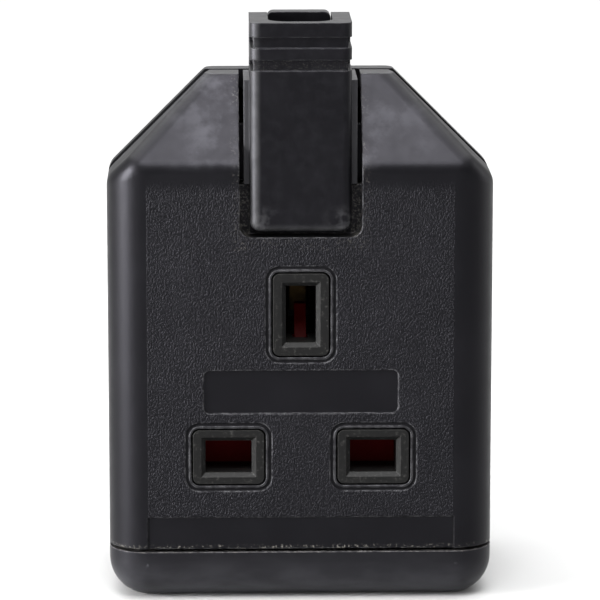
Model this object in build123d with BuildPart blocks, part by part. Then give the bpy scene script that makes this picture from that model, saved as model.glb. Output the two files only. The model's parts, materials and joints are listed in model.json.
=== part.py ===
"""Heavy duty trailing socket for flat three-pin plugs.

Millimetres. The front faces -Y, +X is to its right and +Z is up. The socket stands on its
bottom lip, with the origin under the middle of the housing. Depths are counted from the
front face towards the back.
"""
from math import hypot
import os

from build123d import *

# Housing, outside
body_width = 59.2
body_height = 80.85
body_depth = 40.0
shoulder = 15.1
edge_radius = 6.0
slope_edge_step = 2.8
back_edge_radius = 3.4
inner_radius = 0.6
ridge_front = 9.7
ridge_back = 19.4
knee_above_shoulder = 2.1
back_slope_rise = 7.0
wall = 3.0

# Joint between the two covers
parting_depth = 14.7
parting_gap = 1.4
rim_inset = 1.4
rim_lap = 1.6
relief_run = 3.0
relief_drop = 0.5
lip_height = 7.85
lip_gap = 0.5
keel_depth = 6.0
keel_thickness = 2.0
keel_height = 1.6
keel_margin = 8.0

# Face of the front cover
band_height = 5.0
band_step = 0.18
panel_width = 29.9
panel_height = 6.8
panel_radius = 1.0
panel_recess = 0.35
panel_above_line = 10.2
window_gap = 0.3
window_lip = 0.34
border_width = 0.56
border_recess = 0.22

# Pin layout and holes
pin_spacing = 22.23
earth_pin_inset = 7.67
line_hole_width = 7.1
line_hole_height = 5.0
earth_hole_width = 4.6
earth_hole_height = 8.8
line_boss_width = 10.9
line_boss_height = 8.4
earth_boss_width = 8.5
earth_boss_height = 12.7
boss_radius = 1.0
hole_bevel = 0.65

# Cord guard, its channel and the tongue behind it
guard_width = 15.5
guard_above_insert = 5.05
guard_rise = 8.95
guard_depth = 14.5
guard_front_wall = 2.0
guard_edge = 1.4
guard_foot_radius = 1.6
guard_tab = 6.85
guard_wing = 0.9
guard_wing_recess = 2.6
guard_flange = 4.2
guard_flange_thickness = 1.5
guard_flange_back = 9.5
guard_crown = 2.2
groove_depth = 0.6
groove_height = 1.65
groove_run = 9.0
groove_count = 2
rib_height = 1.8
cable_hole_width = 9.8
cable_hole_depth = 12.9
cable_hole_radius = 3.0
channel_margin = 1.6
channel_foot = 0.75
channel_recess = 3.6
channel_radius = 1.8
channel_backing = 2.0
tongue_thickness = 3.0
tongue_radius = 1.0
tongue_root = 7.0
slip = 0.2

# Insulating insert behind the front wall
insert_width = 46.0
insert_height = 41.2
insert_radius = 3.0
insert_plate = 2.6
insert_rim = 1.6
insert_floor_gap = 0.2
tunnel_wall = 1.2
tunnel_length = 2.3
rail_width = 1.4

# Shutter and its spring
shutter_thickness = 2.2
shutter_clearance = 0.3
shutter_travel = 5.5
shutter_overlap = 0.7
shutter_side_overlap = 1.7
shutter_bar_height = 6.8
shutter_stem_width = 8.4
finger_width = 1.8
finger_reach = 3.2
finger_ramp = 5.0
finger_foot = 2.0
finger_above_pin_axis = 0.2
spring_diameter = 3.8
spring_wire = 0.45
spring_turns = 6
spring_length = 14.0
spring_post_width = 3.0
spring_post_height = 2.1
spring_pocket_gap = 0.4
spring_cap = 2.0

# Rear insulator and contacts
base_plate = 2.0
tower_wall = 1.5
tower_back = 1.2
tower_radius = 1.0
pocket_across = 8.4
pocket_margin = 1.2
contact_depth = 12.0
contact_sheet = 0.8
contact_bend = 0.9
contact_grip = 3.4
contact_mouth = 5.2
contact_flare = 2.6
line_leaf_width = 6.2
earth_leaf_width = 7.6
tail_width = 4.0
tail_gap = 0.1
clip_sheet = 0.5
clip_bend = 0.8
clip_length = 4.0
clip_forward = 0.7
clip_play = 0.6
clip_mouth = 0.6
terminal_width = 7.4
terminal_height = 8.0
terminal_depth = 7.0
terminal_radius = 0.6
rear_room = 4.0
conductor_hole = 3.6
conductor_setback = 2.6

# Screws, posts, pillars and the cord clamp
screw_fit = 0.1
head_ratio = 1.75
head_height_ratio = 0.6
slot_width = 0.7
slot_depth = 0.8
terminal_screw = 3.2
terminal_screw_length = 3.6
insert_screw = 2.8
insert_screw_length = 5.5
insert_screw_inset = 4.2
insert_screw_above_line = 11.4
insert_post = 6.0
cover_screw = 3.4
cover_screw_x = 20.4
cover_post_gap = 1.0
cover_screw_sink = 6.0
cover_screw_grip = 4.4
cover_post = 7.4
bush_diameter = 5.6
bush_length = 5.0
clamp_screw = 2.6
clamp_screw_length = 8.0
clamp_span = 25.0
clamp_height = 6.0
clamp_thickness = 3.0
clamp_end = 3.0
clamp_pad = 1.5
clamp_post = 5.2
clamp_post_length = 10.0
clamp_above_insert = 8.2
pillar_diameter = 4.4
pillar_x = 19.8
pillar_inset = 3.6

# Places that follow from the sizes
front = -body_depth / 2
beyond = 1.0
front_slope_rise = shoulder - knee_above_shoulder
lip_seam = lip_height + lip_gap
cover_floor = lip_seam + wall
band_top = lip_seam + band_height
rear_start = parting_depth + parting_gap

insert_bottom = cover_floor + insert_floor_gap
insert_top = insert_bottom + insert_height
insert_center = (0, insert_bottom + insert_height / 2)
plate_back = wall + insert_plate
tunnel_end = plate_back + tunnel_length
shutter_front = tunnel_end + shutter_clearance
shutter_back = shutter_front + shutter_thickness
base_front = shutter_back + shutter_clearance
base_rear = base_front + base_plate
terminal_end = body_depth - wall - rear_room
tower_end = terminal_end - terminal_depth
pocket_end = tower_end - tower_back
grip_start = contact_depth + contact_flare

earth_pin_height = insert_top - earth_pin_inset
line_pin_height = earth_pin_height - pin_spacing
neutral_pin = (-pin_spacing / 2, line_pin_height)
live_pin = (pin_spacing / 2, line_pin_height)
earth_pin = (0, earth_pin_height)
line_hole = (line_hole_width, line_hole_height)
earth_hole = (earth_hole_width, earth_hole_height)
line_boss = (line_boss_width, line_boss_height)
earth_boss = (earth_boss_width, earth_boss_height)
holes = [
    (neutral_pin, line_hole, line_boss),
    (live_pin, line_hole, line_boss),
    (earth_pin, earth_hole, earth_boss),
]

guard_top = body_height + guard_rise
guard_bottom = insert_top + guard_above_insert
guard_height = guard_top - guard_bottom
guard_step = guard_bottom + guard_tab
channel_width = guard_width + 2 * channel_margin
channel_bottom = guard_bottom - channel_foot
channel_back = channel_recess + channel_backing
cable_hole_back = guard_front_wall + cable_hole_depth

clamp_center = (0, insert_top + clamp_above_insert)
clamp_front = wall + clamp_post_length
clamp_back = clamp_front + clamp_thickness
clamp_places = [(side * clamp_span / 2, clamp_center[1]) for side in (-1, 1)]
cover_screw_height = insert_top + cover_post_gap + cover_post / 2
cover_screw_places = [(side * cover_screw_x, cover_screw_height) for side in (-1, 1)]
insert_screw_x = insert_width / 2 - insert_screw_inset
insert_screw_height = line_pin_height + insert_screw_above_line
insert_screw_places = [(side * insert_screw_x, insert_screw_height) for side in (-1, 1)]
pillar_places = [
    (side * pillar_x, height)
    for side in (-1, 1)
    for height in (insert_bottom + pillar_inset, insert_top - pillar_inset)
]


def layer(depth):
    """Plane parallel to the front face and that far behind it, facing forwards."""
    return Plane.XZ.offset(-front - depth)


def shoulder_plane(side, depth):
    """Plane across a shoulder at its ridge end: X goes back from that depth, Y points outwards."""
    corner = (side * (body_width / 2 - shoulder), front + depth, body_height)
    return Plane(origin=corner, x_dir=(0, 1, 0), z_dir=(1, 0, -side))


def plate(center, size, radius, near, far, mode=Mode.ADD):
    """Slab with rounded corners parallel to the front face, from depth near to far."""
    with BuildSketch(layer(far)) as profile:
        with Locations(center):
            RectangleRounded(*size, radius)
    extrude(profile.sketch, amount=far - near, mode=mode)


def opening(center, size, near, far, taper=0.0):
    """Square-cornered hole cut along the depth."""
    with BuildSketch(layer(far)) as profile:
        with Locations(center):
            Rectangle(*size)
    extrude(profile.sketch, amount=far - near, taper=taper, mode=Mode.SUBTRACT)


def rods(centers, diameter, near, far, mode=Mode.ADD):
    """Round posts or bores along the depth."""
    with BuildSketch(layer(far)) as profile:
        with Locations(*centers):
            Circle(diameter / 2)
    extrude(profile.sketch, amount=far - near, mode=mode)


def screws(centers, diameter, seat, length):
    """Slotted pan-head screws driven forwards, their heads on the seat depth."""
    head_diameter = diameter * head_ratio
    head_end = seat + diameter * head_height_ratio
    rods(centers, diameter, seat - length, seat)
    rods(centers, head_diameter, seat, head_end)
    with BuildSketch(layer(head_end)) as slots:
        with Locations(*centers):
            Rectangle(head_diameter + beyond, slot_width)
    extrude(slots.sketch, amount=slot_depth, mode=Mode.SUBTRACT)


def grow(size, margin):
    """Width and height with the margin added on every side."""
    return (size[0] + 2 * margin, size[1] + 2 * margin)


def housing_form(inset, floor, front_roll, slope_roll, back_roll):
    """Closed housing with rolled edges, drawn in by the inset and standing on the floor."""
    half = body_width / 2
    low = floor - inset
    ridge_height = body_height - inset
    ridge_middle = front + (ridge_front + ridge_back) / 2
    reach = 2 * body_height
    back_fall = reach * back_slope_rise / (body_depth - ridge_back)
    with BuildPart() as form:
        with BuildSketch(layer(body_depth - inset)):
            with BuildLine():
                Polyline(
                    (-half, low),
                    (half, low),
                    (half, body_height - shoulder),
                    (half - shoulder, body_height),
                    (shoulder - half, body_height),
                    (-half, body_height - shoulder),
                    close=True,
                )
            make_face()
            if inset:
                offset(amount=-inset, kind=Kind.INTERSECTION)
        extrude(amount=body_depth - 2 * inset)
        with BuildSketch(Plane.YZ.offset(-half)):
            with BuildLine():
                Polyline(
                    (front, low),
                    (front, body_height - front_slope_rise),
                    (front + ridge_front, body_height),
                    (front + ridge_back, body_height),
                    (-front, body_height - back_slope_rise),
                    (-front, low),
                    close=True,
                )
            make_face()
            if inset:
                offset(amount=-inset, kind=Kind.INTERSECTION)
        extrude(amount=body_width, mode=Mode.INTERSECT)

        # Rear of each shoulder, which falls away as steeply as the back of the ridge
        for side in (-1, 1):
            with BuildSketch(shoulder_plane(side, ridge_back).offset(-reach)):
                with BuildLine():
                    Polyline(
                        (-reach, back_fall),
                        (reach, -back_fall),
                        (reach, -2 * reach),
                        (-reach, -2 * reach),
                        close=True,
                    )
                make_face()
                if inset:
                    offset(amount=-inset, kind=Kind.INTERSECTION)
            extrude(amount=2 * reach, mode=Mode.INTERSECT)

        # Rolled edges: upright and bottom ones, then those of the slope and shoulders, then the rear
        side_top = form.faces().sort_by(Axis.X)[0].bounding_box().max.Z
        ahead = form.edges().filter_by(lambda edge: edge.bounding_box().min.Y < ridge_middle)
        fillet(ahead.filter_by(lambda edge: edge.bounding_box().min.Z < floor + slip), front_roll)
        ahead = form.edges().filter_by(lambda edge: edge.bounding_box().min.Y < ridge_middle)
        upper = ahead.filter_by(lambda edge: edge.bounding_box().min.Z > side_top - slip)
        ridge = form.faces().sort_by(Axis.Z)[-1]
        fillet(upper.filter_by(GeomType.LINE) - ridge.edges(), slope_roll)
        rear = form.edges().filter_by(lambda edge: edge.bounding_box().min.Y > ridge_middle)
        fillet(rear.filter_by(lambda edge: edge.bounding_box().min.Z < ridge_height - slip), back_roll)
    return form.part


def outer_shell(inset, floor):
    """Outside of the housing, or a surface that runs parallel to it."""
    front_roll = edge_radius - inset
    return housing_form(inset, floor, front_roll, front_roll - slope_edge_step, back_edge_radius - inset)


outer_form = outer_shell(0, 0)
gap_form = outer_shell(rim_inset, lip_height / 2)
rim_form = outer_shell(rim_inset, cover_floor)
rebate_form = outer_shell(rim_inset - slip, cover_floor - slip)
front_hollow = housing_form(wall, cover_floor, inner_radius, inner_radius, inner_radius)
back_hollow = housing_form(wall, wall, inner_radius, inner_radius, inner_radius)

# Rebate that takes the rim of the back cover
with BuildPart() as rebate:
    add(rebate_form)
    split(bisect_by=layer(parting_depth - rim_lap), keep=Keep.BOTTOM)

# Front cover
with BuildPart() as front_cover:
    add(outer_form)
    split(bisect_by=Plane.XY.offset(lip_seam), keep=Keep.TOP)
    split(bisect_by=layer(parting_depth), keep=Keep.TOP)
    add(front_hollow, mode=Mode.SUBTRACT)
    add(rebate.part, mode=Mode.SUBTRACT)

    # Relief along the rear edges of the shoulders, where the covers stand apart
    for side in (-1, 1):
        with BuildSketch(shoulder_plane(side, parting_depth).offset(-body_height)):
            with BuildLine():
                Polyline(
                    (-relief_run, 0),
                    (0, -relief_drop),
                    (beyond, -relief_drop),
                    (beyond, beyond),
                    (-relief_run, beyond),
                    close=True,
                )
            make_face()
        extrude(amount=2 * body_height, mode=Mode.SUBTRACT)

    # Smooth band along the foot, a step below the textured face
    band_size = (body_width - 2 * edge_radius, band_height + beyond)
    opening((0, band_top - band_size[1] / 2), band_size, -beyond, band_step)

    # Backing behind the channel floor, then the channel itself, open to the inside above it
    backing_bottom = channel_bottom - channel_backing
    backing_size = (channel_width + 2 * channel_backing, guard_step - backing_bottom)
    backing_center = (0, backing_bottom + backing_size[1] / 2)
    plate(backing_center, backing_size, channel_radius, wall / 2, channel_back)
    with BuildSketch(layer(channel_recess)) as channel:
        with Locations((0, channel_bottom)):
            Rectangle(channel_width, body_height, align=(Align.CENTER, Align.MIN))
        fillet(channel.vertices().group_by(Axis.Y)[0], channel_radius)
    extrude(amount=channel_recess + beyond, mode=Mode.SUBTRACT)
    with BuildSketch(layer(parting_depth + beyond)):
        with Locations((0, guard_step)):
            Rectangle(channel_width, body_height, align=(Align.CENTER, Align.MIN))
    extrude(amount=body_depth, mode=Mode.SUBTRACT)

    # Posts for the cover screws and the cord clamp
    rods(cover_screw_places, cover_post, wall / 2, parting_depth)
    rods(cover_screw_places, bush_diameter, parting_depth - bush_length, parting_depth, Mode.SUBTRACT)
    rods(clamp_places, clamp_post, wall / 2, clamp_front)
    rods(
        clamp_places, clamp_screw + 2 * screw_fit,
        clamp_back - clamp_screw_length - beyond, clamp_front, Mode.SUBTRACT,
    )

    # Windows for the insert's bosses, each with a fine lip inside a sunk border
    for center, hole, boss in holes:
        window = grow(boss, window_gap)
        window_radius = boss_radius + window_gap
        lip_edge = grow(window, window_lip)
        lip_radius = window_radius + window_lip
        plate(center, window, window_radius, -beyond, wall + beyond, Mode.SUBTRACT)
        with BuildSketch(layer(border_recess)):
            with Locations(center):
                RectangleRounded(*grow(lip_edge, border_width), lip_radius + border_width)
                RectangleRounded(*lip_edge, lip_radius, mode=Mode.SUBTRACT)
        extrude(amount=border_recess + beyond, mode=Mode.SUBTRACT)

    # Bare name panel
    panel_center = (0, line_pin_height + panel_above_line)
    plate(panel_center, (panel_width, panel_height), panel_radius, -beyond, panel_recess, Mode.SUBTRACT)

    # Groove over the keel of the bottom lip
    with BuildSketch(Plane.XY.offset(lip_seam - beyond)):
        with Locations((0, front + keel_depth)):
            Rectangle(body_width - 2 * keel_margin + 2 * slip, keel_thickness + 2 * slip)
    extrude(amount=beyond + keel_height - lip_gap + slip, mode=Mode.SUBTRACT)

# Bottom lip of the back cover, which carries the front cover's foot
with BuildPart() as lip:
    add(outer_form)
    split(bisect_by=Plane.XY.offset(lip_height), keep=Keep.BOTTOM)
    split(bisect_by=layer(rear_start), keep=Keep.TOP)
    with BuildSketch(Plane.XY.offset(lip_height)):
        with Locations((0, front + keel_depth)):
            Rectangle(body_width - 2 * keel_margin, keel_thickness)
    extrude(amount=keel_height)

# Ring that closes the gap between the covers all the way down to the lip
with BuildPart() as gap_ring:
    add(gap_form)
    split(bisect_by=layer(parting_depth + slip), keep=Keep.BOTTOM)
    split(bisect_by=layer(rear_start + beyond), keep=Keep.TOP)

# Rim of the back cover, which laps inside the front cover
with BuildPart() as rim:
    add(rim_form)
    split(bisect_by=layer(parting_depth - rim_lap + slip), keep=Keep.BOTTOM)
    split(bisect_by=layer(rear_start + beyond), keep=Keep.TOP)
    add(gap_ring.part)
    add(back_hollow, mode=Mode.SUBTRACT)
    with BuildSketch(layer(rear_start)):
        with Locations((0, guard_step)):
            Rectangle(channel_width, body_height, align=(Align.CENTER, Align.MIN))
    extrude(amount=body_depth, mode=Mode.SUBTRACT)

# Back cover
with BuildPart() as back_cover:
    add(outer_form)
    split(bisect_by=layer(rear_start), keep=Keep.BOTTOM)
    add(back_hollow, mode=Mode.SUBTRACT)
    add(lip.part)
    add(rim.part)

    # Tongue that closes the cable entry from behind
    with BuildSketch(layer(cable_hole_back + tongue_thickness)) as tongue:
        with Locations((0, guard_top)):
            Rectangle(cable_hole_width, guard_rise + tongue_root, align=(Align.CENTER, Align.MAX))
        fillet(tongue.vertices().group_by(Axis.Y)[-1], tongue_radius)
    extrude(amount=tongue_thickness)
    with BuildSketch(layer(rear_start + wall)):
        with Locations((0, body_height - slip)):
            Rectangle(cable_hole_width, tongue_root - slip, align=(Align.CENTER, Align.MAX))
    extrude(amount=rear_start + wall - cable_hole_back)

    # Tubes for the cover screws, and pillars that press the insert forwards
    rods(cover_screw_places, cover_post, parting_depth, body_depth - wall / 2)
    rods(pillar_places, pillar_diameter, base_rear, body_depth - wall / 2)
    rods(cover_screw_places, cover_screw + 2 * slip, rear_start - 2 * beyond, body_depth, Mode.SUBTRACT)
    rods(
        cover_screw_places, cover_screw * head_ratio + 2 * slip,
        body_depth - cover_screw_sink, body_depth + beyond, Mode.SUBTRACT,
    )

# Cord guard: a tab in the channel that grows into a ribbed half sleeve
slope_wall = wall * hypot(ridge_front, front_slope_rise) / front_slope_rise
flange_front = guard_flange_back - guard_flange_thickness
slope_at_flange = (flange_front - slope_wall) * front_slope_rise / ridge_front
flange_top = body_height - front_slope_rise + slope_at_flange - slip
sleeve_bottom = guard_step + slip


def sleeve_block(width, near, far, top):
    """Upright block of the guard from the sleeve's bottom, between two depths."""
    with BuildSketch(Plane.XY.offset(sleeve_bottom)) as profile:
        with Locations((0, front + near)):
            Rectangle(width, far - near, align=(Align.CENTER, Align.MIN))
    extrude(profile.sketch, amount=top - sleeve_bottom)


with BuildPart() as cord_guard:
    with BuildSketch(layer(channel_recess)) as tab:
        with Locations((0, guard_bottom)):
            Rectangle(guard_width, guard_height, align=(Align.CENTER, Align.MIN))
        fillet(tab.vertices().group_by(Axis.Y)[0], guard_foot_radius)
    extrude(amount=channel_recess)
    sleeve_block(guard_width, 0, guard_depth, guard_top)
    guard_face = cord_guard.faces().sort_by(Axis.Y)[0]
    crown_edge = guard_face.edges().sort_by(Axis.Z)[-1]
    fillet(guard_face.edges() - [crown_edge], guard_edge)
    sleeve_block(guard_width + 2 * guard_wing, guard_wing_recess, guard_depth, body_height)
    sleeve_block(guard_width + 2 * guard_flange, flange_front, guard_flange_back, flange_top)

    # Half of the cable hole, open to the back
    with BuildSketch(Plane.XY.offset(sleeve_bottom)) as bore:
        with Locations((0, front + guard_front_wall)):
            Rectangle(cable_hole_width, guard_depth, align=(Align.CENTER, Align.MIN))
        fillet(bore.vertices().group_by(Axis.Y)[0], cable_hole_radius)
    extrude(amount=guard_height, mode=Mode.SUBTRACT)

    # Grooves across the front and sides, leaving a plain strip along the back
    for number in range(groove_count):
        groove_top = guard_top - guard_crown - number * (groove_height + rib_height)
        with BuildSketch(Plane.XY.offset(groove_top - groove_height)):
            with Locations((0, front - beyond)):
                Rectangle(
                    guard_width + 2 * beyond, groove_run + beyond, align=(Align.CENTER, Align.MIN)
                )
            with Locations((0, front + groove_depth)):
                Rectangle(
                    guard_width - 2 * groove_depth, guard_depth,
                    align=(Align.CENTER, Align.MIN), mode=Mode.SUBTRACT,
                )
        extrude(amount=groove_height, mode=Mode.SUBTRACT)

# Shutter places
bar_top = line_pin_height + line_hole_height / 2 + shutter_overlap
bar_bottom = bar_top - shutter_bar_height
bar_width = pin_spacing + line_hole_width + 2 * shutter_side_overlap
finger_top = earth_pin[1] + finger_above_pin_axis
finger_tip = shutter_front - finger_reach
finger_bottom = finger_top - finger_ramp - finger_foot
spring_floor = insert_bottom + insert_rim + spring_post_height
spring_seat = spring_floor + spring_length
spring_depth = base_front - shutter_clearance / 2 - spring_diameter / 2

# Socket insert: the front insulator, with bosses that fill the windows
with BuildPart() as socket_insert:
    plate(insert_center, (insert_width, insert_height), insert_radius, wall, base_front)
    chamfer(socket_insert.faces().sort_by(Axis.Y)[0].edges(), inner_radius)
    plate(
        insert_center, grow((insert_width, insert_height), -insert_rim),
        insert_radius - insert_rim, plate_back, base_front, Mode.SUBTRACT,
    )
    for center, hole, boss in holes:
        plate(center, boss, boss_radius, 0, plate_back)
        plate(center, grow(hole, tunnel_wall), tunnel_wall, wall, tunnel_end)
    rods(insert_screw_places, insert_post, wall, base_front)

    # Rails beside the shutter's bar, and the post under its spring
    for side in (-1, 1):
        rail_x = side * (bar_width / 2 + shutter_clearance + rail_width / 2)
        rail_low = insert_bottom + insert_rim / 2
        with BuildSketch(layer(base_front)):
            with Locations((rail_x, rail_low)):
                Rectangle(rail_width, bar_top - rail_low, align=(Align.CENTER, Align.MIN))
        extrude(amount=base_front - wall)
    with BuildSketch(layer(shutter_back)):
        with Locations((0, spring_floor)):
            Rectangle(
                spring_post_width, spring_post_height + insert_rim / 2,
                align=(Align.CENTER, Align.MAX),
            )
    extrude(amount=shutter_back - wall)

    # Pin holes with bevelled mouths
    for center, hole, boss in holes:
        opening(center, hole, -beyond, tunnel_end + beyond)
        opening(center, hole, 0, hole_bevel, taper=-45)

    # Slot in which the shutter's finger travels below the earth hole
    slot_low = finger_bottom - shutter_travel - shutter_clearance
    with BuildSketch(layer(tunnel_end + beyond)):
        with Locations((0, slot_low)):
            Rectangle(
                finger_width + 2 * shutter_clearance, earth_pin[1] - slot_low,
                align=(Align.CENTER, Align.MIN),
            )
    extrude(amount=tunnel_end + beyond - finger_tip + shutter_clearance, mode=Mode.SUBTRACT)

    rods(
        insert_screw_places, insert_screw + 2 * screw_fit,
        base_rear - insert_screw_length - screw_fit, base_front, Mode.SUBTRACT,
    )

# Shutter: a bar across the two line holes, with a ramp that the earth pin pushes down
with BuildPart() as shutter:
    with BuildSketch(layer(shutter_back)):
        with Locations((0, bar_top)):
            Rectangle(bar_width, shutter_bar_height, align=(Align.CENTER, Align.MAX))
        with Locations((0, bar_bottom)):
            Rectangle(
                shutter_stem_width, finger_bottom + finger_foot - bar_bottom,
                align=(Align.CENTER, Align.MIN),
            )
    extrude(amount=shutter_thickness)
    with BuildSketch(Plane.YZ.offset(-finger_width / 2)):
        with BuildLine():
            Polyline(
                (front + shutter_front, finger_top),
                (front + finger_tip, finger_top - finger_ramp),
                (front + finger_tip, finger_bottom),
                (front + shutter_back, finger_bottom),
                (front + shutter_back, finger_top),
                close=True,
            )
        make_face()
    extrude(amount=finger_width)
    spring_pocket = spring_diameter + 2 * spring_pocket_gap
    with BuildSketch(layer(shutter_back)):
        with Locations((0, spring_seat)):
            Rectangle(spring_pocket, spring_cap, align=(Align.CENTER, Align.MIN))
    extrude(amount=shutter_back - spring_depth + spring_diameter / 2)
    with BuildSketch(layer(base_front)):
        with Locations((0, spring_seat)):
            Rectangle(spring_pocket, body_height, align=(Align.CENTER, Align.MAX))
    extrude(amount=base_front, mode=Mode.SUBTRACT)

# Coil spring under the shutter
with BuildPart() as shutter_spring:
    coil_radius = (spring_diameter - spring_wire) / 2
    coil_height = spring_length - spring_wire
    with BuildLine() as coil:
        Helix(
            coil_height / spring_turns, coil_height, coil_radius,
            center=(0, front + spring_depth, spring_floor + spring_wire / 2),
        )
    with BuildSketch(Plane(origin=coil.line @ 0, z_dir=coil.line % 0)):
        Circle(spring_wire / 2)
    sweep(path=coil.line, is_frenet=True)

# Pin axis, leaf width and the direction along the leaves of each contact
contact_layout = {
    "live": (live_pin, line_leaf_width, (1, 0, 0)),
    "neutral": (neutral_pin, line_leaf_width, (1, 0, 0)),
    "earth": (earth_pin, earth_leaf_width, (0, 0, 1)),
}


def pin_layer(center, along, depth):
    """Plane across a pin axis at that depth, facing forwards, its X along the leaves."""
    return Plane(origin=(center[0], front + depth, center[1]), x_dir=along, z_dir=(0, -1, 0))


def pocket_size(leaf_width):
    """Room for a contact, along and across its leaves."""
    return (leaf_width + 2 * pocket_margin, pocket_across)


# Rear insulator: a plate with one hollow tower for each contact
with BuildPart() as insert_base:
    plate(insert_center, (insert_width, insert_height), insert_radius, base_front, base_rear)
    for center, leaf_width, along in contact_layout.values():
        with BuildSketch(pin_layer(center, along, tower_end)):
            RectangleRounded(*grow(pocket_size(leaf_width), tower_wall), tower_radius)
        extrude(amount=tower_end - base_front)
    for center, leaf_width, along in contact_layout.values():
        with BuildSketch(pin_layer(center, along, pocket_end)):
            Rectangle(*pocket_size(leaf_width))
        extrude(amount=pocket_end - base_front + beyond, mode=Mode.SUBTRACT)
        with BuildSketch(pin_layer(center, along, tower_end + beyond)):
            Rectangle(tail_width + 2 * tail_gap, contact_sheet + 2 * tail_gap)
        extrude(amount=tower_back + 2 * beyond, mode=Mode.SUBTRACT)
    rods(insert_screw_places, insert_screw + 2 * screw_fit, base_front, base_rear, Mode.SUBTRACT)


def folded_contact(center, leaf_width, along):
    """Sheet brass folded round the pin, with a tail through the back of its tower."""
    leaf = (contact_grip + contact_sheet) / 2
    mouth = (contact_mouth + contact_sheet) / 2
    web = pocket_end - contact_sheet / 2
    side_plane = Plane(origin=(center[0], front, center[1]), x_dir=(0, 1, 0), z_dir=along)
    with BuildPart() as contact:
        with BuildSketch(side_plane.offset(-leaf_width / 2)):
            with BuildLine():
                FilletPolyline(
                    (contact_depth, mouth),
                    (grip_start, leaf),
                    (web, leaf),
                    (web, -leaf),
                    (grip_start, -leaf),
                    (contact_depth, -mouth),
                    radius=contact_bend,
                )
            trace(line_width=contact_sheet)
        extrude(amount=leaf_width)
        with BuildSketch(pin_layer(center, along, tower_end)):
            Rectangle(tail_width, contact_sheet)
        extrude(amount=tower_end - web)
    return contact.part


def contact_clip(center, leaf_width, along):
    """Steel clip open on one side, which presses the leaves together."""
    across = contact_grip / 2 + contact_sheet + clip_sheet / 2
    back = leaf_width / 2 + clip_play + clip_sheet / 2
    open_end = clip_mouth - leaf_width / 2
    clip_end = (grip_start + pocket_end + clip_length) / 2 - clip_forward
    with BuildPart() as clip:
        with BuildSketch(pin_layer(center, along, clip_end)):
            with BuildLine():
                FilletPolyline(
                    (open_end, across),
                    (back, across),
                    (back, -across),
                    (open_end, -across),
                    radius=clip_bend,
                )
            trace(line_width=clip_sheet)
        extrude(amount=clip_length)
    return clip.part


def terminal_block(center):
    """Brass block on the tower's back, bored for one conductor and its screw."""
    with BuildPart() as block:
        plate(center, (terminal_width, terminal_height), terminal_radius, tower_end, terminal_end)
        with BuildSketch(Plane.XY.offset(center[1] - terminal_height)):
            with Locations((center[0], front + tower_end + conductor_setback)):
                Circle(conductor_hole / 2)
        extrude(amount=2 * terminal_height, mode=Mode.SUBTRACT)
        rods(
            [center], terminal_screw + 2 * screw_fit,
            tower_end + conductor_setback, terminal_end, Mode.SUBTRACT,
        )
    return block.part


# Screws, bushes and the cord clamp
with BuildPart() as terminal_screws:
    screws([live_pin, neutral_pin, earth_pin], terminal_screw, terminal_end, terminal_screw_length)

with BuildPart() as insert_screws:
    screws(insert_screw_places, insert_screw, base_rear, insert_screw_length)

with BuildPart() as cover_screws:
    cover_seat = body_depth - cover_screw_sink
    screws(
        cover_screw_places, cover_screw, cover_seat,
        cover_seat - parting_depth + cover_screw_grip,
    )

with BuildPart() as cover_bushes:
    rods(cover_screw_places, bush_diameter, parting_depth - bush_length, parting_depth)
    rods(
        cover_screw_places, cover_screw + 2 * screw_fit,
        parting_depth - bush_length, parting_depth, Mode.SUBTRACT,
    )

with BuildPart() as cord_clamp:
    with BuildSketch(layer(clamp_back)):
        with Locations(clamp_center):
            SlotOverall(clamp_span + 2 * clamp_end, clamp_height)
    extrude(amount=clamp_thickness)
    with BuildSketch(layer(clamp_front)):
        with Locations(clamp_center):
            Rectangle(cable_hole_width, clamp_height)
    extrude(amount=clamp_pad)
    rods(clamp_places, clamp_screw + 2 * screw_fit, clamp_front, clamp_back, Mode.SUBTRACT)

with BuildPart() as cord_clamp_screws:
    screws(clamp_places, clamp_screw, clamp_back, clamp_screw_length)

# One file for each piece
pieces = {
    "front_cover": front_cover.part,
    "back_cover": back_cover.part,
    "cord_guard": cord_guard.part,
    "socket_insert": socket_insert.part,
    "shutter": shutter.part,
    "shutter_spring": shutter_spring.part,
    "insert_base": insert_base.part,
    "terminal_screws": terminal_screws.part,
    "insert_screws": insert_screws.part,
    "cover_screws": cover_screws.part,
    "cover_bushes": cover_bushes.part,
    "cord_clamp": cord_clamp.part,
    "cord_clamp_screws": cord_clamp_screws.part,
}
for pole, (center, leaf_width, along) in contact_layout.items():
    pieces[f"{pole}_contact"] = folded_contact(center, leaf_width, along)
    pieces[f"{pole}_clip"] = contact_clip(center, leaf_width, along)
    pieces[f"{pole}_terminal"] = terminal_block(center)

os.makedirs("parts", exist_ok=True)
for label, piece in pieces.items():
    piece.label = label
    export_step(piece, f"parts/{label}.step")
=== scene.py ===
"""Looks of the trailing socket: rubber, plastics and metals, soft studio light, the photo's camera.

Metres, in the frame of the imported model: the front faces -Y and +Z is up. Depths are counted from the
front face towards the back.
"""
import json
import math

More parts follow.
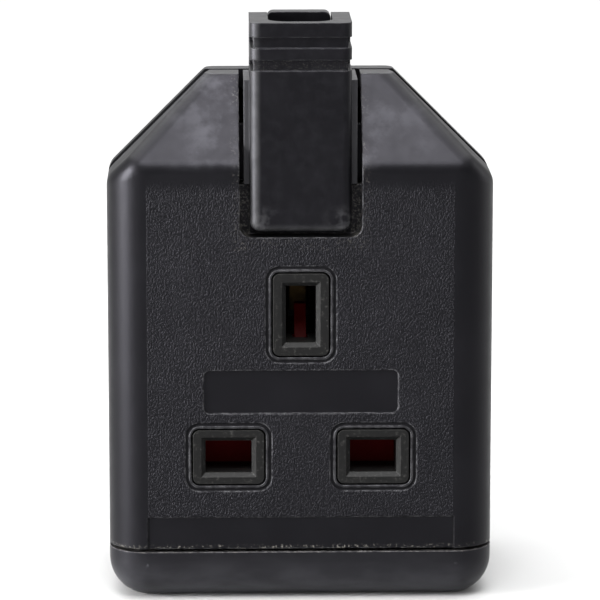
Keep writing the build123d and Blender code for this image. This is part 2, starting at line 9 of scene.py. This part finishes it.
import bpy
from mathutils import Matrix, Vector


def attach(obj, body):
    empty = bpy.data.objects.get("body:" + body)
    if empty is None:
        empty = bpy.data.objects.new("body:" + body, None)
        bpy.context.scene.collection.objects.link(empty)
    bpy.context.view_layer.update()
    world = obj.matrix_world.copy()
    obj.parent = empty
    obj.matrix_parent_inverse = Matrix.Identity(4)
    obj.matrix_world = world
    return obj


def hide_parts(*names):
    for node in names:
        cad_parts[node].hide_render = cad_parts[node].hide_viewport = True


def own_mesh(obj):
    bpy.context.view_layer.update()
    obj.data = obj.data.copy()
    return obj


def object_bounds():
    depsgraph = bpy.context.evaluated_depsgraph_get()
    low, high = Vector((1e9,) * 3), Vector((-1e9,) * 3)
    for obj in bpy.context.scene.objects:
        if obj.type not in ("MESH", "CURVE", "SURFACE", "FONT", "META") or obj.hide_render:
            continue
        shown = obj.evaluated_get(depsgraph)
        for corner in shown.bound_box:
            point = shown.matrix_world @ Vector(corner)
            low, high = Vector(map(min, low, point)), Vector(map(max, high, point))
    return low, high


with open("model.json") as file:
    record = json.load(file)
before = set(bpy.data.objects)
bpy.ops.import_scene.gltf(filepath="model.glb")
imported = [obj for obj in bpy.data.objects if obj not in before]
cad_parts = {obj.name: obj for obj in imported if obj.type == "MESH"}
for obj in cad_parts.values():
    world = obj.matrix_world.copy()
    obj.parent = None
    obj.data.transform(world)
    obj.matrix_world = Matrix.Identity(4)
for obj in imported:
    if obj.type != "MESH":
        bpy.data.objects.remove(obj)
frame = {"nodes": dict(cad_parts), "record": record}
cad_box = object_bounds()

MM = 0.001

# Camera: the photo's angle and scale
IMAGE_SIZE = 600
SENSOR_WIDTH = 36.0
CAMERA_AZIMUTH = math.radians(-1.3)
CAMERA_ELEVATION = math.radians(10.8)
CAMERA_DISTANCE = 0.6
PIXELS_PER_MM = 6.56
AIM_ABOVE_EARTH_PIN = 2.31 * MM
AIM_ASIDE = -0.15 * MM

# Studio: floor, world, the point that the softboxes face, and each one's place, width, height and watts
FLOOR_SIZE = 12.0
FLOOR_COLOR = (0.28, 0.28, 0.28, 1.0)
FLOOR_ROUGHNESS = 0.7
FLOOR_SHEEN = 0.2
WORLD_COLOR = (1.0, 1.0, 1.0, 1.0)
WORLD_STRENGTH = 0.6
LIGHT_AIM = Vector((0.0, 0.0, 0.04))
SOFTBOXES = {
    "key_softbox": (Vector((0.0, -0.46, 0.83)), 0.42, 0.42, 10.0),
    "left_softbox": (Vector((-0.5, -0.21, 0.15)), 0.26, 0.3, 12.0),
    "right_softbox": (Vector((0.55, 0.14, 0.2)), 0.3, 0.4, 0.8),
    "left_top_softbox": (Vector((-0.3, 0.04, 0.88)), 0.3, 0.3, 2.2),
    "right_top_softbox": (Vector((0.3, 0.04, 0.88)), 0.3, 0.3, 1.4),
    "backdrop_softbox": (Vector((0.0, 1.0, 1.1)), 1.4, 0.9, 23.0),
    "ceiling_softbox": (Vector((0.0, 0.0, 3.0)), 6.0, 6.0, 300.0),
}

# Grain of the flat faces: where it ends on the front, its size, stretch and depth, and the heights of
# its noise where it starts to rise, where it starts to glint and where both are full
GRAIN_HALF_WIDTH = 23.5 * MM
GRAIN_BOTTOM = 13.35 * MM
GRAIN_TOP = 65.0 * MM
GRAIN_FADE = 1.6 * MM
GRAIN_SIZE = 0.26 * MM
GRAIN_STRETCH = (1.0, 1.0, 1.5)
GRAIN_DEPTH = 0.07 * MM
GRAIN_START = 0.34
GLINT_START = 0.5
GRAIN_FULL = 0.68
FACE_SKIN = 0.08 * MM

# Covers: heights of the lip, shoulders and ridge, and depths of the relief and of the gap between them
LIP_TOP = 7.85 * MM
LIP_SEAM = 8.35 * MM
SHOULDER_BOTTOM = 65.75 * MM
KNEE = 67.85 * MM
RIDGE = 80.85 * MM
RELIEF_START = 11.7 * MM
GAP_BACK = 16.1 * MM

# Cord guard and its channel
CHANNEL_BOTTOM = 57.05 * MM
WING_INNER = 7.8 * MM
WING_OUTER = 8.7 * MM
GUARD_BOTTOM = 57.8 * MM
GUARD_HALF_WIDTH = 7.75 * MM
GUARD_EDGE = 1.4 * MM
LOW_GROOVE = (82.5 * MM, 84.15 * MM)

# Bosses round the pin holes: half width and half height, and the gap and lip round each
LINE_BOSS = (5.45 * MM, 4.2 * MM)
EARTH_BOSS = (4.25 * MM, 6.35 * MM)
BOSS_RADIUS = 1.0 * MM
WINDOW_GAP = 0.3 * MM
WINDOW_LIP = 0.34 * MM

# Depths where the mouths of the contacts start and end, over which the brass takes painted shade
MOUTH_START = 12.0 * MM
MOUTH_END = 18.0 * MM

# Depths of the shutter's front and of its finger's tip
SHUTTER_FRONT = 8.2 * MM
FINGER_TIP = 5.0 * MM

# Reach of the haze, dust and wear, and of painted shade and painted highlights, beside these places
BLOOM_HALF_WIDTH = 24 * MM
SEAM_DUST_HEIGHT = 0.3 * MM
SEAM_DUST_FADE = 0.5 * MM
CHANNEL_DUST_DROP = 1.6 * MM
CHANNEL_DUST_FADE = 0.8 * MM
CHANNEL_DUST_HALF_WIDTH = 10 * MM
WALL_DUST_MARGIN = 0.6 * MM
WALL_DUST_BELOW_RIDGE = 3 * MM
REAR_EDGE_WIDTH = 0.3 * MM
DULL_SHADED_RING = 0.45 * MM
LEFT_ROLL_WIDTH = 1.3 * GUARD_EDGE
FOOT_HAZE_HEIGHT = 3.5 * GUARD_EDGE

# Finishes: roughness, sheen, and the radius over which sharp edges look rounded
RUBBER_ROUGHNESS = 0.4
RUBBER_SHEEN = 0.132
RUBBER_TINT = (0.9, 0.88, 1.0, 1.0)
RUBBER_EDGE = 0.3 * MM
INSERT_ROUGHNESS = 0.42
INSERT_SHEEN = 0.11
SHUTTER_SHEEN = 0.02
PLASTIC_EDGE = 0.15 * MM
METAL_EDGE = 0.1 * MM
EDGE_FACING = 0.86
EDGE_SAMPLES = 6

# Colours of the rubber, of wear and dirt, and of painted shade, glints, highlights and reflection
RUBBER_BLACK = (0.0012, 0.0012, 0.0015, 1.0)
RUBBER_WORN = (0.03, 0.03, 0.035, 1.0)
RUBBED_EDGE_AND_HIGHLIGHT = (0.1, 0.1, 0.104, 1.0)
BLOOM_AND_GLINT_GREY = (0.05, 0.05, 0.057, 1.0)
LIP_WEAR_AND_HIGHLIGHT_GREY = (0.08, 0.08, 0.083, 1.0)
GUARD_GREY = (0.08, 0.08, 0.084, 1.0)
SHOULDER_WEAR_AND_HIGHLIGHT_GREY = (0.055, 0.055, 0.057, 1.0)
LIP_GREY = (0.045, 0.045, 0.05, 1.0)
DUST = (0.2, 0.19, 0.17, 1.0)
SEAM_DUST = (0.1, 0.094, 0.09, 1.0)
SHADE = (0.0005, 0.0005, 0.0005, 1.0)
GAP_SHADE = (0.001, 0.001, 0.001, 1.0)
SHADED_RED = (0.006, 0.0012, 0.001, 1.0)
SHADED_BRASS = (0.012, 0.009, 0.006, 1.0)

# Sockets of the mix node that carry colours
MIX_FIRST = 6
MIX_SECOND = 7
MIX_RESULT = 2

mounts = {mount["name"]: Vector(mount["pos_m"]) for mount in frame["record"]["mounts"]}
front_y = mounts["earth_hole"].y
back_y = cad_box[1][1]


class Look:
    """Node tree of one material, with short calls for the nodes that it needs."""

    def __init__(self, name, roughness, specular=0.5, metallic=0.0):
        self.material = bpy.data.materials.new(name)
        self.material.use_nodes = True
        self.tree = self.material.node_tree
        self.shader = self.tree.nodes["Principled BSDF"]
        self.shader.inputs["Roughness"].default_value = roughness
        self.shader.inputs["Specular IOR Level"].default_value = specular
        self.shader.inputs["Metallic"].default_value = metallic
        coordinates = self.tree.nodes.new("ShaderNodeTexCoord")
        self.place = coordinates.outputs["Object"]
        axes = self.node("ShaderNodeSeparateXYZ", {"Vector": self.place})
        self.x, self.y, self.z = axes.outputs

    def feed(self, socket, value):
        """Links another node's output to the socket, or sets the socket's own value."""
        if isinstance(value, bpy.types.NodeSocket):
            self.tree.links.new(value, socket)
        else:
            socket.default_value = value

    def node(self, kind, inputs, **settings):
        made = self.tree.nodes.new(kind)
        for setting, value in settings.items():
            setattr(made, setting, value)
        for socket, value in inputs.items():
            self.feed(made.inputs[socket], value)
        return made

    def math(self, operation, first, second=0.0):
        return self.node("ShaderNodeMath", {0: first, 1: second}, operation=operation).outputs[0]

    def ramp(self, value, low, high, low_out=0.0, high_out=1.0):
        """Smooth step of a value from low to high."""
        inputs = {"Value": value, "From Min": low, "From Max": high, "To Min": low_out, "To Max": high_out}
        made = self.node("ShaderNodeMapRange", inputs, interpolation_type="SMOOTHSTEP")
        return made.outputs["Result"]

    def within(self, value, low, high, fade):
        """One between low and high, falling to zero over the fade outside them."""
        rise = self.ramp(value, low - fade, low)
        fall = self.ramp(value, high, high + fade, 1.0, 0.0)
        return self.both(rise, fall)

    def both(self, *masks):
        """Mask where all the masks are."""
        product = masks[0]
        for mask in masks[1:]:
            product = self.math("MULTIPLY", product, mask)
        return product

    def either(self, *masks):
        """Mask where any of the masks is."""
        highest = masks[0]
        for mask in masks[1:]:
            highest = self.math("MAXIMUM", highest, mask)
        return highest

    def outside(self, mask):
        return self.math("SUBTRACT", 1.0, mask)

    def share(self, mask, amount):
        return self.math("MULTIPLY", mask, amount)

    def noise(self, size, detail=3.0, roughness=0.55, stretch=(1.0, 1.0, 1.0)):
        """Noise whose features are about that size, longer along the stretched axes."""
        scale = tuple(1.0 / (size * longer) for longer in stretch)
        mapped = self.node("ShaderNodeMapping", {"Vector": self.place, "Scale": scale})
        inputs = {"Vector": mapped.outputs[0], "Scale": 1.0, "Detail": detail, "Roughness": roughness}
        return self.node("ShaderNodeTexNoise", inputs).outputs["Fac"]

    def patches(self, size, start, full, least=0.0, most=1.0, **settings):
        """Patches of about that size: least where the noise is under start, most where it is over full."""
        return self.ramp(self.noise(size, **settings), start, full, least, most)

    def tint(self, color, other, mask, share=1.0):
        """Colour turned towards the other one by that share where the mask is."""
        made = self.node("ShaderNodeMix", {}, data_type="RGBA")
        self.feed(made.inputs["Factor"], self.share(mask, share))
        self.feed(made.inputs[MIX_FIRST], color)
        self.feed(made.inputs[MIX_SECOND], other)
        return made.outputs[MIX_RESULT]

    def edges(self, radius):
        """Normal rounded over the sharp edges, and a mask that is bright along them."""
        rounded = self.node("ShaderNodeBevel", {"Radius": radius}, samples=EDGE_SAMPLES).outputs[0]
        true_normal = self.node("ShaderNodeNewGeometry", {}).outputs["Normal"]
        inputs = {0: rounded, 1: true_normal}
        facing = self.node("ShaderNodeVectorMath", inputs, operation="DOT_PRODUCT").outputs["Value"]
        return rounded, self.ramp(facing, 1.0, EDGE_FACING)

    def bump(self, height, depth, normal):
        inputs = {"Height": height, "Distance": depth, "Normal": normal}
        return self.node("ShaderNodeBump", inputs).outputs[0]

    def finish(self, color, normal, roughness=None):
        self.feed(self.shader.inputs["Base Color"], color)
        self.feed(self.shader.inputs["Normal"], normal)
        if roughness:
            self.feed(self.shader.inputs["Roughness"], roughness)
        return self.material


def rubber(name, wear):
    """Black moulded rubber with a faint bloom, soft scuffs and worn edges."""
    look = Look(name, RUBBER_ROUGHNESS, RUBBER_SHEEN)
    look.shader.inputs["Specular Tint"].default_value = RUBBER_TINT
    rounded, edge_mask = look.edges(RUBBER_EDGE)
    scuffs = look.patches(7 * MM, start=0.42, full=0.72, detail=4.0)
    color = look.tint(RUBBER_BLACK, RUBBER_WORN, scuffs, share=0.03)
    rubbed = look.both(edge_mask, look.patches(1.1 * MM, start=0.38, full=0.62))
    color = look.tint(color, RUBBED_EDGE_AND_HIGHLIGHT, rubbed, share=wear)
    normal = look.bump(look.noise(0.5 * MM, detail=4.0), depth=0.012 * MM, normal=rounded)
    roughness = look.patches(2.2 * MM, start=0.3, full=0.75, least=0.37, most=0.43, detail=4.0)
    return look, color, normal, roughness


def add_grain(look, normal, where):
    """Normal with leather grain raised where the mask is, and the streaks that it comes from."""
    streaks = look.noise(GRAIN_SIZE, detail=2.0, stretch=GRAIN_STRETCH)
    raised = look.both(look.ramp(streaks, GRAIN_START, GRAIN_FULL), where)
    return look.bump(raised, GRAIN_DEPTH, normal), streaks


def near_bosses(look, margin):
    """Mask over the bosses and that much round them, seen from the front."""
    masks = []
    side = look.math("ABSOLUTE", look.x)
    for mount, half_size in (("live_hole", LINE_BOSS), ("earth_hole", EARTH_BOSS)):
        beyond = []
        for place, middle, half in zip((side, look.z), mounts[mount].xz, half_size):
            off_middle = look.math("ABSOLUTE", look.math("SUBTRACT", place, middle))
            past_corner = look.math("SUBTRACT", off_middle, half - BOSS_RADIUS)
            beyond.append(look.math("MAXIMUM", past_corner, 0.0))
        corner = look.node("ShaderNodeCombineXYZ", {0: beyond[0], 1: beyond[1]}).outputs[0]
        distance = look.node("ShaderNodeVectorMath", {0: corner}, operation="LENGTH").outputs["Value"]
        masks.append(look.ramp(distance, BOSS_RADIUS + margin + FACE_SKIN, BOSS_RADIUS + margin))
    return look.either(*masks)


def add_front_dust(look, color, side, off_face):
    """Dust specks beside the lip's seam, round the guard's channel and on the channel's walls."""
    beside_seam = look.within(look.z, LIP_SEAM, LIP_SEAM + SEAM_DUST_HEIGHT, SEAM_DUST_FADE)
    beside_channel = look.both(
        look.within(look.z, CHANNEL_BOTTOM - CHANNEL_DUST_DROP, RIDGE, CHANNEL_DUST_FADE),
        look.within(side, 0.0, CHANNEL_DUST_HALF_WIDTH, MM),
        look.patches(4 * MM, start=0.45, full=0.7, least=0.15, most=0.8),
    )
    specks = look.patches(0.35 * MM, start=0.54, full=0.68)
    dusty = look.both(look.either(beside_seam, beside_channel), specks)
    color = look.tint(color, DUST, dusty, share=0.38)
    on_walls = look.both(
        look.within(side, WING_INNER, WING_OUTER + WALL_DUST_MARGIN, FACE_SKIN),
        look.within(look.z, CHANNEL_BOTTOM, RIDGE - WALL_DUST_BELOW_RIDGE, FACE_SKIN),
        look.patches(0.28 * MM, start=0.48, full=0.64),
        off_face,
    )
    return look.tint(color, DUST, on_walls, share=0.2)


def front_rubber():
    """Rubber of the front cover: grained face with painted glints, hazy slopes, dusty seams, window lips
    and a line on the shoulders that are worn and have a painted highlight, painted shade in and round the
    windows.
    """
    look, color, normal, roughness = rubber("front_rubber_look", wear=0.6)
    side = look.math("ABSOLUTE", look.x)
    on_face = look.ramp(look.y, front_y + 2 * FACE_SKIN, front_y + FACE_SKIN)
    off_face = look.outside(on_face)
    round_windows = near_bosses(look, WINDOW_GAP + WINDOW_LIP)
    lips = look.both(round_windows, on_face)
    grained = look.both(
        look.ramp(side, GRAIN_HALF_WIDTH, GRAIN_HALF_WIDTH - FACE_SKIN),
        look.ramp(look.z, GRAIN_BOTTOM, GRAIN_BOTTOM + FACE_SKIN),
        look.ramp(look.z, GRAIN_TOP + GRAIN_FADE, GRAIN_TOP - GRAIN_FADE),
        on_face,
        look.outside(lips),
    )
    normal, streaks = add_grain(look, normal, grained)
    # Painted glints: the grain's highest streaks are a little lighter
    glints = look.both(look.ramp(streaks, GLINT_START, GRAIN_FULL), grained)
    color = look.tint(color, BLOOM_AND_GLINT_GREY, glints, share=0.1)
    # The lips round the windows are a little lighter: wear and a painted highlight
    color = look.tint(color, LIP_WEAR_AND_HIGHLIGHT_GREY, lips, share=0.08)

    bloom = look.both(
        look.patches(4.5 * MM, start=0.44, full=0.72, detail=5.0, roughness=0.6),
        look.ramp(look.z, KNEE - MM, KNEE + MM),
        look.ramp(side, BLOOM_HALF_WIDTH, BLOOM_HALF_WIDTH / 2),
    )
    color = look.tint(color, BLOOM_AND_GLINT_GREY, bloom, share=0.4)
    color = add_front_dust(look, color, side, off_face)
    # A light line along the front cover's rear edge on the shoulders: wear and a painted highlight
    rear_edge_wear_and_highlight = look.both(
        look.within(look.y, front_y + RELIEF_START - REAR_EDGE_WIDTH, front_y + RELIEF_START, FACE_SKIN),
        look.ramp(look.z, RIDGE - MM, SHOULDER_BOTTOM),
        look.ramp(look.z, SHOULDER_BOTTOM - MM, SHOULDER_BOTTOM),
        look.patches(1.5 * MM, start=0.4, full=0.6, least=0.3),
    )
    color = look.tint(color, SHOULDER_WEAR_AND_HIGHLIGHT_GREY, rear_edge_wear_and_highlight)

    # Painted shade: black window walls, a darker ring past the lips and darker ends of the band, all
    # rougher
    window_walls = look.both(round_windows, off_face)
    past_lips = look.both(
        near_bosses(look, WINDOW_GAP + WINDOW_LIP + DULL_SHADED_RING), look.outside(round_windows)
    )
    band_ends = look.both(
        look.within(side, GRAIN_HALF_WIDTH - 2 * FACE_SKIN, GRAIN_HALF_WIDTH + 2 * FACE_SKIN, FACE_SKIN),
        look.ramp(look.z, GRAIN_BOTTOM + FACE_SKIN, GRAIN_BOTTOM),
    )
    shaded = look.either(window_walls, look.share(past_lips, 0.7), look.share(band_ends, 0.8))
    color = look.tint(color, SHADE, shaded)
    return look.finish(color, normal, look.either(roughness, shaded))


def back_rubber():
    """Rubber of the back cover: lip worn and with a painted floor reflection, dusty seam, grained back,
    painted shade in the gap behind the front cover.
    """
    look, color, normal, roughness = rubber("back_rubber_look", wear=0.5)
    long_patches = look.patches(
        3 * MM, start=0.3, full=0.7, least=0.6, most=1.1, detail=5.0, stretch=(2.0, 1.0, 1.0)
    )
    # The lip is lighter towards the bottom at the front: wear and a painted reflection of the floor
    lip_wear_and_reflection = look.both(
        look.ramp(look.z, LIP_TOP, 0.0, low_out=0.08, high_out=0.65),
        look.ramp(look.z, LIP_SEAM, LIP_TOP),
        look.ramp(look.y, front_y + 2 * GAP_BACK, front_y),
        long_patches,
    )
    color = look.tint(color, LIP_GREY, lip_wear_and_reflection)
    in_seam = look.both(
        look.within(look.z, LIP_TOP - FACE_SKIN, LIP_SEAM, FACE_SKIN),
        look.ramp(look.y, front_y + GAP_BACK, front_y + GAP_BACK - MM),
        look.patches(0.5 * MM, start=0.45, full=0.7, least=0.05, most=0.7),
    )
    color = look.tint(color, SEAM_DUST, in_seam)
    on_back = look.ramp(look.y, back_y - 2 * FACE_SKIN, back_y - FACE_SKIN)
    normal, _ = add_grain(look, normal, on_back)
    in_gap = look.both(
        look.ramp(look.y, front_y + GAP_BACK + FACE_SKIN, front_y + GAP_BACK + FACE_SKIN / 2),
        look.within(look.z, LIP_SEAM + FACE_SKIN, RIDGE - FACE_SKIN, FACE_SKIN / 2),
    )
    color = look.tint(color, GAP_SHADE, in_gap)
    return look.finish(color, normal, look.either(roughness, in_gap))


def guard_rubber():
    """Rubber of the cord guard: hazy, with light wings, rolls rubbed and with a painted highlight, and
    dust in the low groove.
    """
    look, color, normal, roughness = rubber("guard_rubber_look", wear=0.2)
    side = look.math("ABSOLUTE", look.x)
    haze = look.patches(1.4 * MM, start=0.4, full=0.75, detail=5.0)
    color = look.tint(color, RUBBER_WORN, haze, share=0.06)
    wings = look.within(side, WING_INNER, WING_OUTER, FACE_SKIN)
    color = look.tint(color, GUARD_GREY, wings, share=0.24)
    left_roll = look.ramp(look.x, LEFT_ROLL_WIDTH - GUARD_HALF_WIDTH, GUARD_EDGE / 2 - GUARD_HALF_WIDTH)
    foot_roll = look.ramp(look.z, GUARD_BOTTOM + GUARD_EDGE, GUARD_BOTTOM)
    # The left and foot rolls are lighter: rubbing and a painted highlight
    rubbed_and_highlit_rolls = look.both(
        look.either(left_roll, foot_roll),
        look.ramp(look.y, front_y + GUARD_EDGE, front_y),
        look.patches(2.5 * MM, start=0.35, full=0.65, least=0.6, detail=4.0),
    )
    color = look.tint(color, RUBBED_EDGE_AND_HIGHLIGHT, rubbed_and_highlit_rolls, share=0.32)
    foot_haze = look.both(
        look.patches(1.3 * MM, start=0.42, full=0.66, detail=5.0),
        look.ramp(look.z, GUARD_BOTTOM + FOOT_HAZE_HEIGHT, GUARD_BOTTOM + GUARD_EDGE),
        look.ramp(side, GUARD_HALF_WIDTH / 3, GUARD_HALF_WIDTH),
    )
    color = look.tint(color, GUARD_GREY, foot_haze, share=0.3)
    specks = look.patches(0.22 * MM, start=0.55, full=0.72)
    dusty = look.both(look.within(look.z, *LOW_GROOVE, FACE_SKIN), specks)
    color = look.tint(color, DUST, dusty, share=0.14)
    return look.finish(color, normal, roughness)


def moulded_plastic(name, color, speck_color, roughness, specular=0.5):
    """Hard moulded plastic with fine specks, lighter edges and a faintly uneven surface."""
    look = Look(name, roughness, specular)
    rounded, edge_mask = look.edges(PLASTIC_EDGE)
    specks = look.patches(0.45 * MM, start=0.56, full=0.74)
    lighter = look.either(look.share(specks, 0.5), look.share(edge_mask, 0.35))
    normal = look.bump(look.noise(0.8 * MM), depth=0.01 * MM, normal=rounded)
    return look, look.tint(color, speck_color, lighter), normal


def plain_plastic(name, **settings):
    look, color, normal = moulded_plastic(name, **settings)
    return look.finish(color, normal)


def insert_plastic():
    """Black plastic of the insert, with painted shade down the sides of its bosses."""
    look, color, normal = moulded_plastic(
        "insert_plastic_look",
        color=(0.004, 0.004, 0.004, 1.0),
        speck_color=(0.04, 0.039, 0.037, 1.0),
        roughness=INSERT_ROUGHNESS,
        specular=INSERT_SHEEN,
    )
    # Painted shade down the sides of the bosses, with rougher plastic there
    painted_gap_shade = look.both(
        look.outside(near_bosses(look, -FACE_SKIN)),
        look.ramp(look.y, front_y + FACE_SKIN / 2, front_y + FACE_SKIN),
    )
    color = look.tint(color, SHADE, painted_gap_shade)
    return look.finish(color, normal, look.either(painted_gap_shade, INSERT_ROUGHNESS))


def shutter_plastic():
    """Red plastic of the shutter, with painted shade on the finger behind the earth hole."""
    look, color, normal = moulded_plastic(
        "shutter_plastic_look",
        color=(0.06, 0.0016, 0.002, 1.0),
        speck_color=(0.08, 0.003, 0.003, 1.0),
        roughness=0.55,
        specular=SHUTTER_SHEEN,
    )
    # Painted shade: the finger is darker towards its tip
    finger_shade = look.ramp(look.y, front_y + SHUTTER_FRONT, front_y + FINGER_TIP)
    return look.finish(look.tint(color, SHADED_RED, finger_shade, share=0.7), normal)


def metal(name, color, dull_color, roughness):
    """Bare sheet or turned metal with dull patches and fine drawn lines."""
    look = Look(name, roughness, metallic=1.0)
    rounded, _ = look.edges(METAL_EDGE)
    dull = look.patches(1.6 * MM, start=0.35, full=0.7, detail=4.0)
    lines = look.noise(0.08 * MM, detail=2.0, stretch=(1.0, 14.0, 1.0))
    normal = look.bump(lines, depth=0.004 * MM, normal=rounded)
    return look, look.tint(color, dull_color, dull), normal


def plain_metal(name, **settings):
    look, color, normal = metal(name, **settings)
    return look.finish(color, normal)


def brass():
    """Dull brass, with painted shade that is darkest at the mouths of the contacts."""
    look, color, normal = metal(
        "brass_look",
        color=(0.13, 0.085, 0.036, 1.0),
        dull_color=(0.06, 0.038, 0.018, 1.0),
        roughness=0.36,
    )
    # Painted shade: the brass is darkest at the mouths of the contacts
    mouth_shade = look.ramp(look.y, front_y + MOUTH_END, front_y + MOUTH_START)
    return look.finish(look.tint(color, SHADED_BRASS, mouth_shade, share=0.95), normal)


MATERIALS = {
    "front_rubber": front_rubber(),
    "back_rubber": back_rubber(),
    "guard_rubber": guard_rubber(),
    "insert_plastic": insert_plastic(),
    "base_plastic": plain_plastic(
        "base_plastic_look",
        color=(0.012, 0.012, 0.013, 1.0),
        speck_color=(0.03, 0.03, 0.03, 1.0),
        roughness=0.45,
    ),
    "clamp_plastic": plain_plastic(
        "clamp_plastic_look",
        color=(0.018, 0.018, 0.019, 1.0),
        speck_color=(0.05, 0.05, 0.05, 1.0),
        roughness=0.45,
    ),
    "shutter_plastic": shutter_plastic(),
    "spring_steel": plain_metal(
        "spring_steel_look",
        color=(0.6, 0.6, 0.6, 1.0),
        dull_color=(0.42, 0.42, 0.43, 1.0),
        roughness=0.3,
    ),
    "screw_steel": plain_metal(
        "screw_steel_look",
        color=(0.62, 0.6, 0.55, 1.0),
        dull_color=(0.46, 0.43, 0.38, 1.0),
        roughness=0.34,
    ),
    "brass": brass(),
}

# Every node keeps its shape and takes the finish of its material slot
slot_of_node = {part["node"]: part["material_slot"] for part in frame["record"]["subparts"]}


def dress_nodes():
    for name, item in frame["nodes"].items():
        item.data.materials.clear()
        item.data.materials.append(MATERIALS[slot_of_node[name]])


def dress_spring():
    """Copy of the spring with its own mesh, attached to the housing in place of the hidden spring node."""
    node = frame["nodes"]["shutter_spring"]
    spring = bpy.data.objects.new("shutter_coil", node.data.copy())
    bpy.context.scene.collection.objects.link(spring)
    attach(spring, "housing")
    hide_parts("shutter_spring")
    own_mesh(spring)


def aim(item, place, target):
    item.location = place
    item.rotation_euler = (target - place).to_track_quat("-Z", "Y").to_euler()
    bpy.context.scene.collection.objects.link(item)


def add_camera():
    focal_pixels = PIXELS_PER_MM / MM * CAMERA_DISTANCE
    data = bpy.data.cameras.new("photo_camera")
    data.sensor_width = SENSOR_WIDTH
    data.lens = SENSOR_WIDTH * focal_pixels / IMAGE_SIZE
    camera = bpy.data.objects.new("photo_camera", data)
    target = mounts["earth_hole"] + Vector((AIM_ASIDE, 0, AIM_ABOVE_EARTH_PIN))
    level = math.cos(CAMERA_ELEVATION)
    back = Vector((
        math.sin(CAMERA_AZIMUTH) * level,
        -math.cos(CAMERA_AZIMUTH) * level,
        math.sin(CAMERA_ELEVATION),
    ))
    aim(camera, target + back * CAMERA_DISTANCE, target)
    bpy.context.scene.camera = camera


def add_floor():
    half = FLOOR_SIZE / 2
    mesh = bpy.data.meshes.new("floor")
    corners = [(-half, -half, 0), (half, -half, 0), (half, half, 0), (-half, half, 0)]
    mesh.from_pydata(corners, [], [(0, 1, 2, 3)])
    floor = bpy.data.objects.new("floor", mesh)
    bpy.context.scene.collection.objects.link(floor)
    paint = Look("floor_look", FLOOR_ROUGHNESS, FLOOR_SHEEN)
    paint.feed(paint.shader.inputs["Base Color"], FLOOR_COLOR)
    mesh.materials.append(paint.material)


def add_lights():
    for name, (place, width, height, watts) in SOFTBOXES.items():
        data = bpy.data.lights.new(name, "AREA")
        data.shape = "RECTANGLE"
        data.size = width
        data.size_y = height
        data.energy = watts
        aim(bpy.data.objects.new(name, data), place, LIGHT_AIM)
    world = bpy.data.worlds.new("studio")
    world.use_nodes = True
    background = world.node_tree.nodes["Background"]
    background.inputs["Color"].default_value = WORLD_COLOR
    background.inputs["Strength"].default_value = WORLD_STRENGTH
    bpy.context.scene.world = world
    bpy.context.scene.view_settings.view_transform = "Standard"


dress_nodes()
dress_spring()
add_camera()
add_floor()
add_lights()
